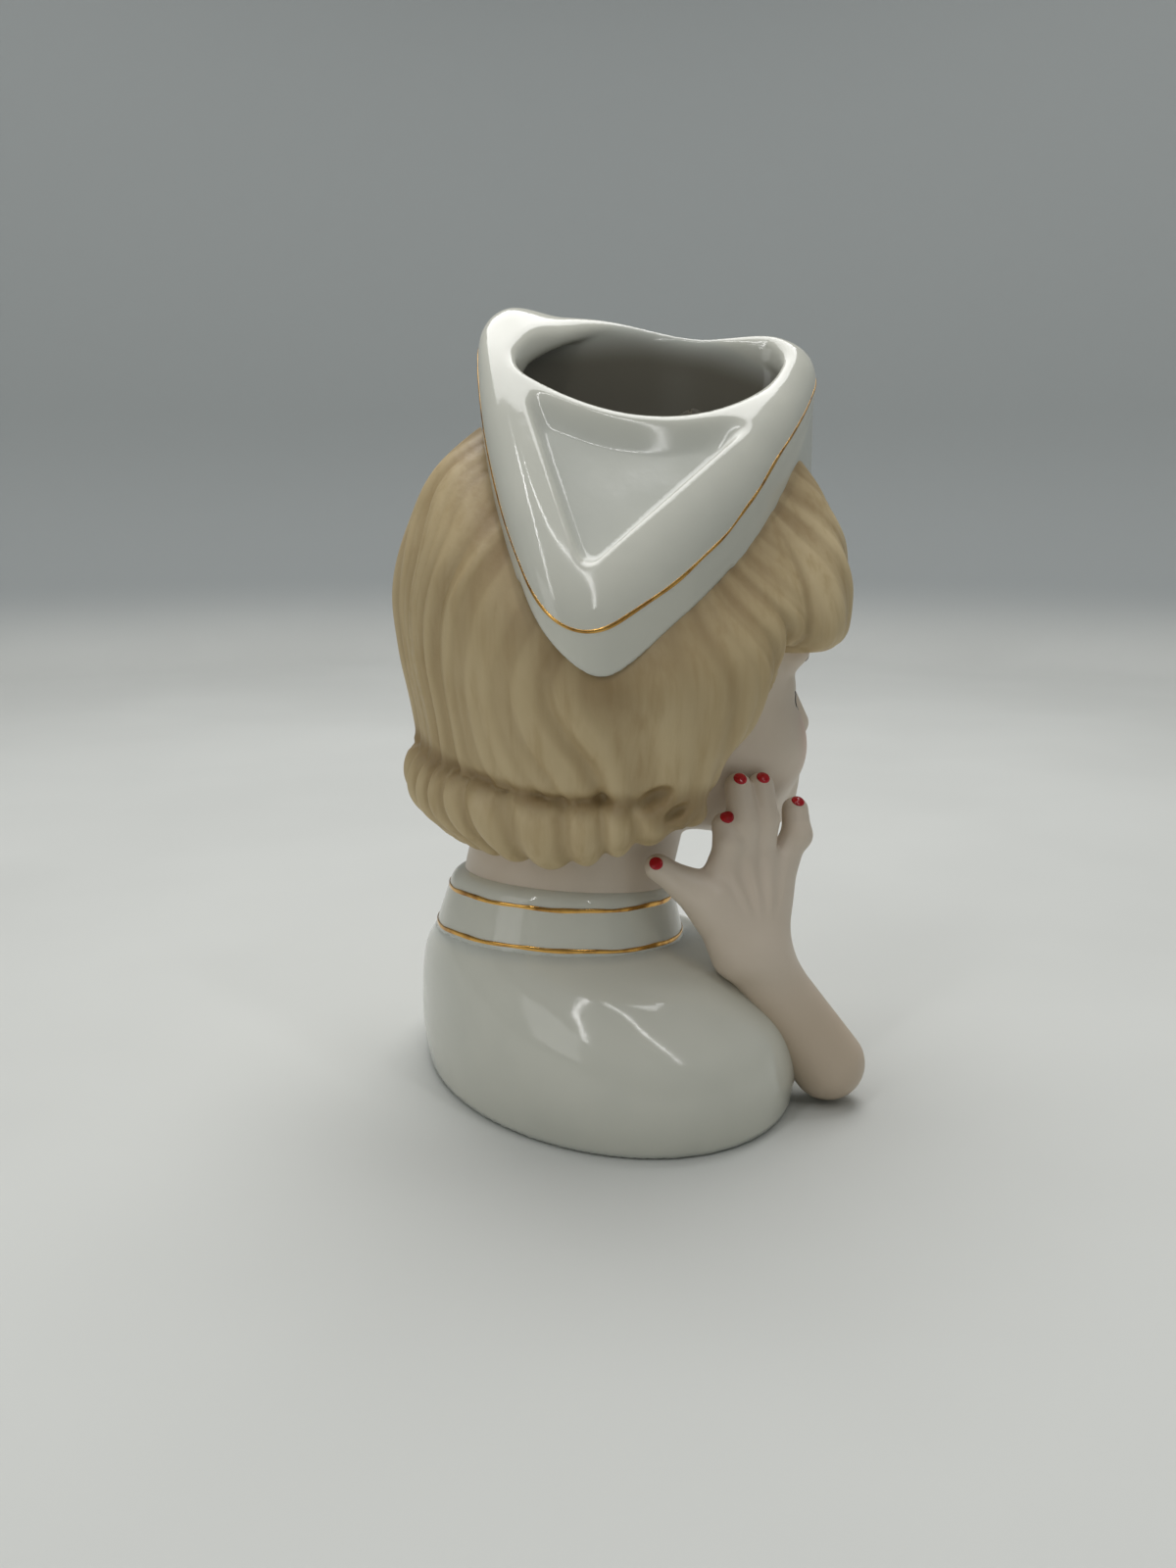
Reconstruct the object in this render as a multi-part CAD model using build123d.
from build123d import *
import math
import os

# Head planter, millimetres. The face looks along -Y, her right side is -X, +Z is up.
# The origin is the middle of the foot, on the floor.

# Casting
wall = 4.5                      # wall of the hollow casting
floor_thickness = 4.5           # closed floor of the bust
overrun = 5.0                   # how far cutters reach past what they cut

# Bust
bust_half_width = 50.0
bust_half_depth = 36.2
bust_height = 30.5              # floor to the middle of the collar's seat

# Collar
collar_setback = 11.0           # collar's middle, behind the foot's middle
collar_base_radius = 25.2
collar_height = 11.0
collar_taper = 2.0              # how much narrower the collar is at its top
collar_edge_round = 2.2
collar_lean_forward = 6.0       # degrees
collar_lean_right = -7.0        # degrees, higher at her right
gold_line_width = 1.2
gold_line_thickness = 0.35
lower_line_height = 0.9         # along the collar
upper_line_height = 7.4

# Neck
collar_wall = 4.6               # collar's wall at its base, outside the neck
neck_lean = 14.0                # degrees, forward

# Head
chin_rise = 17.5                # chin above the collar's seat
head_height = 62.0
face_half_width = 25.0
head_depth = 56.0
face_reach = 40.0               # front of the face, ahead of the foot's middle
nose_length = 10.0
nose_reach = 4.6
nose_bridge_radius = 2.0
nose_tip_radius = 3.5
paint_thickness = 0.4
lip_half_width = 6.4
lip_half_height = 2.5
eye_half_width = 5.6
eye_drop = 3.2                  # sag of a closed lash line
lash_width = 1.3
brow_half_width = 6.6
brow_lift = 5.2                 # brow's ends above the lash line's
brow_rise = 1.5
brow_width = 1.0

# Hair
hair_half_width = 38.0
hair_half_depth = 43.4
hair_over_head = 21.0           # top of the hair's form above the skull's
hair_bottom_rise = 14.0         # hair's lower edge above the chin
hair_shift = -1.5               # hair's middle along Y
fringe_radius = 39.4
fringe_axis_shift = -10.0       # axis of the fringe's sweep along Y
fringe_depth = 20.0             # how deep the fringe's solid reaches in
fringe_over_eyes = 8.0          # fringe's lower edge above the eyes
fringe_height = 40.0
fringe_spread = 56.0            # degrees to each side of the middle
fringe_tuck = 2.3               # how far the fringe's lower edge turns in
roll_back_radius = 11.4
roll_end_radius = 4.6
roll_path_half_width = 29.5
roll_path_half_depth = 30.5
roll_end_lift = 6.5             # how far the roll rises towards the face
roll_bottom_rise = 2.6          # roll's lowest point above the chin
roll_spread = 96.0              # degrees to each side of the nape
roll_section_count = 9
roll_lift_power = 3             # how late the roll starts to rise

# Hat
hat_over_head = 24.0            # fold between the hat's panel and mouth, above the skull's top
panel_tilt = 46.0               # degrees, down towards her right
panel_back_slope = 8.5          # degrees, down towards the back
mouth_tilt = 33.5
mouth_back_slope = 1.7
hat_rim_round = 4.2
hat_wall = 5.0
hat_cuff_drop = 9.0             # hat's lower edge below its panel
hat_skirt_drop = 24.0           # hat's lower edge below its mouth
hat_line_drop = 4.6             # gold line's middle below the panel
recess_depth = 2.6
recess_round = 3.0
tip_round = 9.0
left_round = 13.0
front_round = 9.0
mouth_round = 5.0

# Arm
elbow_radius = 7.3
elbow_clear = 0.4               # elbow above the floor
elbow_side_inset = 15.0         # elbow's middle, in from the bust's right side
elbow_front_inset = 3.4         # elbow's middle, in from the bust's front
wrist_radius = 6.0
palm_half_width = 9.6
palm_half_thickness = 4.6
finger_radius = 3.0
fingertip_radius = 2.7
thumb_radius = 3.6
nail_radius = 2.0
nail_thickness = 0.35

# Shares of a section's height, half width, half depth and setback
BUST_SECTION_SHARES = [
    (0.00, 0.965, 0.965, 0.00),
    (0.22, 1.000, 1.000, 0.02),
    (0.56, 0.955, 0.970, 0.14),
    (0.82, 0.790, 0.860, 0.48),
]
# Shares of the head's height, half width, set-back of the front and depth
FACE_SECTION_SHARES = [
    (0.00, 0.34, 0.055, 0.30),
    (0.07, 0.58, 0.010, 0.58),
    (0.21, 0.84, 0.000, 0.80),
    (0.41, 0.96, 0.010, 0.95),
    (0.62, 1.00, 0.012, 1.00),
    (0.83, 0.88, 0.060, 0.88),
    (1.00, 0.45, 0.250, 0.45),
]
# Eyes, brows and mouth: shares of the face's half width and of the head's height
EYE_ACROSS_SHARE = 0.417
BROW_ACROSS_SHARE = 0.435
EYE_RISE_SHARE = 0.5
MOUTH_RISE_SHARE = 0.2
# Shares of the hair's height, half width and half depth
HAIR_SECTION_SHARES = [
    (0.00, 0.87, 0.86),
    (0.20, 0.96, 0.92),
    (0.38, 1.00, 0.98),
    (0.54, 0.98, 1.00),
    (0.72, 0.89, 0.93),
    (0.87, 0.72, 0.81),
    (1.00, 0.48, 0.58),
]
# Front edge of the side hair: shares of the hair's half depth and of the fringe's rise
HAIR_EDGE_SHARES = [(0.03, 0.00), (-0.06, 0.36), (-0.29, 0.69), (-0.46, 1.00)]
# Fringe: where it swells most, of its height, and how far its top leans in, of its depth
FRINGE_SWELL_SHARE = 0.333
FRINGE_LEAN_SHARE = 0.5
# Hat outline and its panels: shares of the hair's half width and half depth
TIP_SHARES = (-1.035, 0.600)
LEFT_SHARES = (0.620, 0.415)
FRONT_SHARES = (0.197, -1.164)
BACK_EDGE_SHARES = (-0.368, 0.622)
LEFT_EDGE_SHARES = (0.580, -0.334)
RIGHT_EDGE_SHARES = (-0.671, -0.293)
FOLD_SHARES = (-0.263, -0.247)
MOUTH_BACK_SHARES = (0.289, 0.300)
MOUTH_NEAR_SHARES = (-0.255, -0.250)
MOUTH_FRONT_SHARES = (0.263, -0.910)
MOUTH_FAR_SHARES = (0.447, -0.311)
RECESS_CORNER_SHARES = [(-0.180, 0.438), (-0.385, -0.560), (-0.868, 0.440)]
# Hand places: shares of the face's half width, the face's reach and the chin's height
WRIST_SHARES = (-1.27, 0.45, 0.62)
PALM_SHARES = (-1.16, 0.44, 0.86)
KNUCKLE_SHARES = (-1.08, 0.49, 1.00)
THUMB_SHARES = [(-1.13, 0.25, 0.83), (-1.07, 0.13, 0.93), (-0.99, -0.02, 1.02)]
INDEX_SHARES = [(-1.09, 0.33, 0.95), (-1.10, 0.35, 1.08), (-1.02, 0.345, 1.18)]
MIDDLE_SHARES = [(-1.08, 0.43, 0.97), (-1.09, 0.43, 1.16), (-0.98, 0.425, 1.33)]
RING_SHARES = [(-1.07, 0.53, 0.98), (-1.07, 0.545, 1.16), (-0.95, 0.56, 1.32)]
LITTLE_SHARES = [(-1.04, 0.63, 0.96), (-1.03, 0.745, 1.08), (-0.91, 0.77, 1.20)]
NAIL_PLACE_SHARE = 0.72         # nail's place from the fingertip's middle towards the skin

chin_z = bust_height + chin_rise
neck_radius = collar_base_radius - collar_wall
hair_bottom = chin_z + hair_bottom_rise
hair_height = head_height + hair_over_head - hair_bottom_rise
eye_rise = EYE_RISE_SHARE * head_height
fringe_bottom_rise = eye_rise + fringe_over_eyes
hat_rise = head_height + hat_over_head
head_top = chin_z + hat_rise + hair_half_depth


def ellipse_at(z, half_width, half_depth, y):
    """A level ellipse at one height."""
    return Pos(0, y, z) * Ellipse(half_width, half_depth)


def collar_plane():
    """The leaning plane that the collar and neck stand on."""
    lean = Rotation(collar_lean_forward, -collar_lean_right, 0)
    return Plane(Location((0, collar_setback, bust_height)) * lean)


def tilted_plane(tilt, back_slope, drop):
    """A plane through the hat's fold, tilted to her right and back, moved down square to itself."""
    slope_x = math.tan(math.radians(tilt))
    slope_y = math.tan(math.radians(back_slope))
    normal = Vector(-slope_x, slope_y, 1).normalized()
    fold = plan(FOLD_SHARES) + Vector(0, 0, chin_z + hat_rise)
    return Plane(origin=fold - normal * drop, z_dir=normal)


def panel_plane(drop=0):
    return tilted_plane(panel_tilt, panel_back_slope, drop)


def mouth_plane(drop=0):
    return tilted_plane(mouth_tilt, mouth_back_slope, drop)


def block(plane, upwards):
    """A large block on one side of a plane."""
    reach = head_top * 2
    side = Align.MIN if upwards else Align.MAX
    return plane * Box(reach, reach, reach, align=(Align.CENTER, Align.CENTER, side))


def limb(points, radii):
    """A rounded, tapering limb through points."""
    shape = None
    for point, radius in zip(points, radii):
        ball = Pos(point) * Sphere(radius)
        shape = ball if shape is None else shape + ball
    for start, end, r0, r1 in zip(points, points[1:], radii, radii[1:]):
        shape += bone(start, end, r0, r1)
    return shape


def bone(start, end, r0, r1):
    """The straight run between two balls of a limb."""
    along = end - start
    base = (Align.CENTER, Align.CENTER, Align.MIN)
    place = Plane(origin=start, z_dir=along)
    if r0 == r1:
        return place * Cylinder(r0, along.length, align=base)
    return place * Cone(r0, r1, along.length, align=base)


# Forms that more than one piece is cut from

def bust_form():
    sections = []
    for height, width, depth, setback in BUST_SECTION_SHARES:
        sections.append(ellipse_at(height * bust_height, width * bust_half_width,
                                   depth * bust_half_depth, setback * collar_setback))
    sections.append(collar_plane() * Circle(collar_base_radius))
    return loft(sections)


def bust_space():
    room = bust_height - floor_thickness
    sections = []
    for height, width, depth, setback in BUST_SECTION_SHARES:
        sections.append(ellipse_at(floor_thickness + height * (room - wall),
                                   width * bust_half_width - wall, depth * bust_half_depth - wall,
                                   setback * collar_setback))
    sections.append(collar_plane() * Circle(neck_radius - wall))
    return loft(sections)


def neck_form(radius, start_drop):
    """The leaning neck from the collar's seat up to the hair's lower edge."""
    tilt = math.radians(neck_lean)
    along = Vector(0, -math.sin(tilt), math.cos(tilt))
    length = (hair_bottom - bust_height) * 2
    start = Vector(0, collar_setback, bust_height) - along * start_drop
    column = Plane(origin=start, z_dir=along) * Cylinder(
        radius, length, align=(Align.CENTER, Align.CENTER, Align.MIN))
    return column & block(Plane.XY.offset(hair_bottom), False)


def face_form(extra=0):
    """Face and skull, grown by a paint's thickness where asked."""
    sections = []
    for height, width, recess, depth in FACE_SECTION_SHARES:
        front = -face_reach + recess * head_depth
        half_depth = depth * head_depth / 2
        sections.append(ellipse_at(chin_z + height * head_height, width * face_half_width + extra,
                                   half_depth + extra, front + half_depth))
    return loft(sections)


def nose_form():
    bridge = Vector(0, -face_reach + nose_bridge_radius, chin_z + eye_rise)
    tip = bridge + Vector(0, -nose_reach, -nose_length)
    return limb([bridge, tip], [nose_bridge_radius, nose_tip_radius])


def hair_form():
    sections = []
    for height, width, depth in HAIR_SECTION_SHARES:
        sections.append(ellipse_at(hair_bottom + height * hair_height, width * hair_half_width,
                                   depth * hair_half_depth, hair_shift))
    return loft(sections)


def hair_window():
    """The space in front of the side hair and below the fringe."""
    top = chin_z + fringe_bottom_rise
    front = -face_reach * 2
    bottom = chin_z - overrun
    edge = []
    for along, rise in HAIR_EDGE_SHARES:
        edge.append((hair_shift + along * hair_half_depth, chin_z + rise * fringe_bottom_rise))
    outline = edge + [(front, top), (front, bottom), (edge[0][0], bottom)]
    side = Plane.YZ * make_face(Polyline(outline, close=True))
    return extrude(side, amount=hair_half_width * 2, both=True)


def fringe_form():
    """A swept lump over the forehead, about an upright axis."""
    bottom = chin_z + fringe_bottom_rise
    top = bottom + fringe_height
    inner = fringe_radius - fringe_depth
    low = (fringe_radius - fringe_tuck, bottom)
    middle = (fringe_radius, bottom + FRINGE_SWELL_SHARE * fringe_height)
    high = (fringe_radius - FRINGE_LEAN_SHARE * fringe_depth, top)
    outline = ThreePointArc(low, middle, high) + Polyline([high, (inner, top), (inner, bottom), low])
    profile = Plane.XZ * make_face(outline)
    lump = revolve(profile, Axis.Z, revolution_arc=2 * fringe_spread)
    return Pos(0, fringe_axis_shift, 0) * Rot(0, 0, -90 - fringe_spread) * lump


def roll_form():
    """The roll round the nape, thick at the back and slim towards the face."""
    sections = []
    for step in range(roll_section_count):
        share = 2 * step / (roll_section_count - 1) - 1
        angle = math.radians(share * roll_spread)
        radius = roll_back_radius + (roll_end_radius - roll_back_radius) * abs(share)
        z = chin_z + roll_bottom_rise + radius + roll_end_lift * abs(share) ** roll_lift_power
        place = Vector(math.sin(angle) * roll_path_half_width,
                       math.cos(angle) * roll_path_half_depth, z)
        along = Vector(math.cos(angle) * roll_path_half_width,
                       -math.sin(angle) * roll_path_half_depth, 0)
        inwards = along.cross(Vector(0, 0, -1))
        sections.append(Plane(origin=place, x_dir=inwards, z_dir=along) * Circle(radius))
    return loft(sections)


def head_space():
    """The hollow of the head, wide at the back and held clear of the face."""
    front = -face_reach + 2 * wall
    back = hair_shift + hair_half_depth - wall
    half_depth = (back - front) / 2
    half_width = (face_half_width + hair_half_width) / 2 - wall
    low = chin_z + wall
    high = hair_bottom + hair_height - wall
    ball = scale(Sphere(half_depth), by=(half_width / half_depth, 1, (high - low) / 2 / half_depth))
    return Pos(0, (front + back) / 2, (low + high) / 2) * ball


# Hat outlines, seen from above

def plan(shares):
    """A place over the hair's plan, from its shares."""
    return Vector(shares[0] * hair_half_width, hair_shift + shares[1] * hair_half_depth, 0)


def hat_outline(grow=0):
    """The hat's rounded triangle, grown or shrunk evenly."""
    tip, left, front = plan(TIP_SHARES), plan(LEFT_SHARES), plan(FRONT_SHARES)
    edges = ThreePointArc(tip, plan(BACK_EDGE_SHARES), left)
    edges += ThreePointArc(left, plan(LEFT_EDGE_SHARES), front)
    edges += ThreePointArc(front, plan(RIGHT_EDGE_SHARES), tip)
    sketch = Sketch() + make_face(edges)
    for corner, radius in ((tip, tip_round), (left, left_round), (front, front_round)):
        vertex = sketch.vertices().sort_by_distance(corner)[0]
        sketch = fillet(vertex, radius)
    arcs = [grown_arc(edge, grow) for edge in sketch.edges()]
    return make_face(Curve() + arcs)


def grown_arc(edge, grow):
    """An arc about the same centre with a changed radius."""
    centre = edge.arc_center
    factor = 1 + grow / edge.radius
    ends = [centre + (edge.position_at(share) - centre) * factor for share in (0, 0.5, 1)]
    return ThreePointArc(*ends)


def hat_column(outline, bottom):
    """An outline carried straight up past the hat's top."""
    return extrude(Pos(0, 0, bottom) * outline, amount=head_top - bottom)


def below_both(panel_drop, mouth_drop):
    """Everything under the hat's panel and under its mouth."""
    return block(panel_plane(panel_drop), False) & block(mouth_plane(mouth_drop), False)


def hat_form():
    """The outer hat: an upright rounded triangle under two tilted planes, with a rounded rim."""
    return rounded_under(panel_plane()) & rounded_under(mouth_plane())


def rounded_under(plane):
    """The hat's upright form cut by one tilted plane, its upper edge rounded."""
    body = hat_column(hat_outline(), hair_bottom) & block(plane, False)
    top = body.faces().sort_by(Axis(plane.origin, plane.z_dir))[-1]
    return fillet(top.edges(), hat_rim_round)


def hat_space():
    """The hollow under the hat's top, open to the head below."""
    room = hat_column(hat_outline(-hat_wall), hair_bottom + hair_height / 2)
    return room & below_both(recess_depth + hat_wall, hat_wall)


def mouth_space():
    """The planter's mouth, straight down through the hat's top."""
    back, front = plan(MOUTH_BACK_SHARES), plan(MOUTH_FRONT_SHARES)
    edges = ThreePointArc(back, plan(MOUTH_NEAR_SHARES), front)
    edges += ThreePointArc(front, plan(MOUTH_FAR_SHARES), back)
    sketch = Sketch() + make_face(edges)
    sketch = fillet(sketch.vertices(), mouth_round)
    return hat_column(sketch, hair_bottom + hair_height / 2)


def hat_recess():
    """The soft three-cornered panel sunk in the hat's top."""
    corners = [plan(shares) for shares in RECESS_CORNER_SHARES]
    sketch = Sketch() + make_face(Polyline(corners, close=True))
    sketch = fillet(sketch.vertices(), recess_round)
    return hat_column(sketch, hair_bottom) & block(panel_plane(recess_depth), True)


# Hand places

def hand_point(shares):
    """A place by the cheek, from its shares."""
    across, ahead, rise = shares
    return Vector(across * face_half_width, -ahead * face_reach, rise * chin_z)


def finger_form(shares, extra=0):
    radii = [finger_radius + extra, (finger_radius + fingertip_radius) / 2 + extra,
             fingertip_radius + extra]
    return limb([hand_point(place) for place in shares], radii)


def thumb_form(extra=0):
    radii = [thumb_radius + extra, (thumb_radius + fingertip_radius) / 2 + extra,
             fingertip_radius + extra]
    return limb([hand_point(place) for place in THUMB_SHARES], radii)


def forearm_form():
    elbow = Vector(elbow_side_inset - bust_half_width, elbow_front_inset - bust_half_depth,
                   elbow_radius + elbow_clear)
    return limb([elbow, hand_point(WRIST_SHARES)], [elbow_radius, wrist_radius])


def palm_form():
    wrist, palm, knuckle = [hand_point(s) for s in (WRIST_SHARES, PALM_SHARES, KNUCKLE_SHARES)]
    along = knuckle - wrist
    front = Vector(0, 1, 0)
    sections = [
        Plane(origin=wrist, x_dir=front, z_dir=along) * Ellipse(wrist_radius, palm_half_thickness),
        Plane(origin=palm, x_dir=front, z_dir=along) * Ellipse(palm_half_width, palm_half_thickness),
        Plane(origin=knuckle, x_dir=front, z_dir=along) * Ellipse(palm_half_width, finger_radius),
    ]
    return loft(sections)


bust_body = bust_form()
bust_room = bust_space()
neck_body = neck_form(neck_radius, wall)
neck_bore = neck_form(neck_radius - wall, wall)
face_body = face_form() + nose_form()
head_room = head_space()
hair_body = (hair_form() - hair_window()) & block(panel_plane(hat_cuff_drop), False)
fringe_body = fringe_form() & block(panel_plane(hat_cuff_drop), False)
hat_body = hat_form()
hat_room = hat_space()
mouth_room = mouth_space()
seat = block(collar_plane(), True)


# Pieces

def bust_shell():
    return bust_body - bust_room


def dress_collar():
    top = collar_base_radius - collar_taper
    cone = Cone(collar_base_radius, top, collar_height,
                align=(Align.CENTER, Align.CENTER, Align.MIN))
    cone = fillet(cone.edges().sort_by(Axis.Z)[-1], collar_edge_round)
    return collar_plane() * cone - neck_body


def collar_line(height):
    """A gold line round the collar, lying on its taper."""
    start = collar_base_radius - collar_taper * height / collar_height
    end = collar_base_radius - collar_taper * (height + gold_line_width) / collar_height
    base = (Align.CENTER, Align.CENTER, Align.MIN)
    outer = Cone(start + gold_line_thickness, end + gold_line_thickness, gold_line_width, align=base)
    inner = Cone(start, end, gold_line_width, align=base)
    return collar_plane() * Pos(0, 0, height) * (outer - inner)


def neck_shell():
    return (neck_body & seat) - neck_bore - face_body - head_room


def face_shell():
    return face_body - head_room - neck_bore - hat_room - mouth_room


def hair_cap():
    return hair_body - face_body - fringe_body - head_room - hat_room - mouth_room


def hair_fringe():
    return fringe_body - face_body - head_room - hat_room - mouth_room


def hair_roll():
    return roll_form() - hair_body - neck_body - face_body - head_room


def hat_shell():
    shell = hat_body - below_both(hat_cuff_drop, hat_skirt_drop) - hair_body - fringe_body
    return shell - head_room - hat_room - mouth_room - hat_recess()


def hat_gold_line():
    upper = hat_line_drop - gold_line_width / 2
    lower = hat_line_drop + gold_line_width / 2
    band = hat_column(hat_outline(gold_line_thickness), hair_bottom) & below_both(upper, upper)
    return band - below_both(lower, lower) - hat_column(hat_outline(), hair_bottom)


def painted(outline):
    """A thin coat of paint on the face, inside an outline seen from the front."""
    column = extrude(outline, amount=face_reach * 2)
    return (column & face_form(paint_thickness)) - face_body


def front_plane(x, rise):
    return Plane(origin=(x, -face_reach / 2, chin_z + rise), x_dir=(1, 0, 0), z_dir=(0, -1, 0))


def arched_band(half_width, sag, width):
    """A crescent between two arcs."""
    ends = Vector(-half_width, 0, 0), Vector(half_width, 0, 0)
    thick = sag + width * math.copysign(1, sag)
    edges = ThreePointArc(ends[0], Vector(0, sag, 0), ends[1])
    edges += ThreePointArc(ends[1], Vector(0, thick, 0), ends[0])
    return make_face(edges)


def eyelashes():
    eye_x = EYE_ACROSS_SHARE * face_half_width
    band = arched_band(eye_half_width, -eye_drop, lash_width)
    return [painted(front_plane(side * eye_x, eye_rise) * band) for side in (-1, 1)]


def eyebrows():
    brow_x = BROW_ACROSS_SHARE * face_half_width
    rise = eye_rise + brow_lift
    band = arched_band(brow_half_width, brow_rise, brow_width)
    return [painted(front_plane(side * brow_x, rise) * band) for side in (-1, 1)]


def lips():
    rise = MOUTH_RISE_SHARE * head_height
    return painted(front_plane(0, rise) * Ellipse(lip_half_width, lip_half_height))


def forearm():
    return forearm_form() - bust_body


def hand_palm():
    return palm_form() - forearm_form() - face_body - bust_body


def finger(shares, beside=()):
    """A finger, cut back where it lies against its neighbours."""
    shape = finger_form(shares) - palm_form() - face_body
    for neighbour in beside:
        shape -= finger_form(neighbour)
    return shape


def thumb():
    return thumb_form() - palm_form() - face_body - neck_body - bust_body


def nail(form, grown, tip):
    """A thin enamel cap on a fingertip, facing out and up."""
    out = Vector(-1, 0, 1).normalized()
    disc = Pos(tip + out * fingertip_radius * NAIL_PLACE_SHARE) * Sphere(nail_radius)
    return (grown & disc) - form - face_body


def fingernails():
    caps = [nail(thumb_form(), thumb_form(nail_thickness), hand_point(THUMB_SHARES[-1]))]
    fingers = (INDEX_SHARES, MIDDLE_SHARES, RING_SHARES, LITTLE_SHARES)
    for shares in fingers:
        cap = nail(finger_form(shares), finger_form(shares, nail_thickness), hand_point(shares[-1]))
        for other in fingers:
            cap -= finger_form(other)
        caps.append(cap)
    return caps


def save(name, shape):
    """Write one node's solids to its STEP file."""
    group = shape if isinstance(shape, list) else [shape]
    solids = [solid for item in group for solid in item.solids()]
    export_step(Compound(children=solids) if len(solids) > 1 else solids[0], f"parts/{name}.step")


os.makedirs("parts", exist_ok=True)
save("bust_shell", bust_shell())
save("dress_collar", dress_collar())
save("collar_gold_line_lower", collar_line(lower_line_height))
save("collar_gold_line_upper", collar_line(upper_line_height))
save("neck_shell", neck_shell())
save("face_shell", face_shell())
save("hair_cap", hair_cap())
save("hair_fringe", hair_fringe())
save("hair_roll", hair_roll())
save("hat_shell", hat_shell())
save("hat_gold_line", hat_gold_line())
save("forearm", forearm())
save("hand_palm", hand_palm())
save("thumb", thumb())
save("middle_finger", finger(MIDDLE_SHARES))
save("index_finger", finger(INDEX_SHARES, [MIDDLE_SHARES]))
save("ring_finger", finger(RING_SHARES, [MIDDLE_SHARES]))
save("little_finger", finger(LITTLE_SHARES, [RING_SHARES]))
save("fingernails", fingernails())
save("eyelashes", eyelashes())
save("eyebrows", eyebrows())
save("lips", lips())
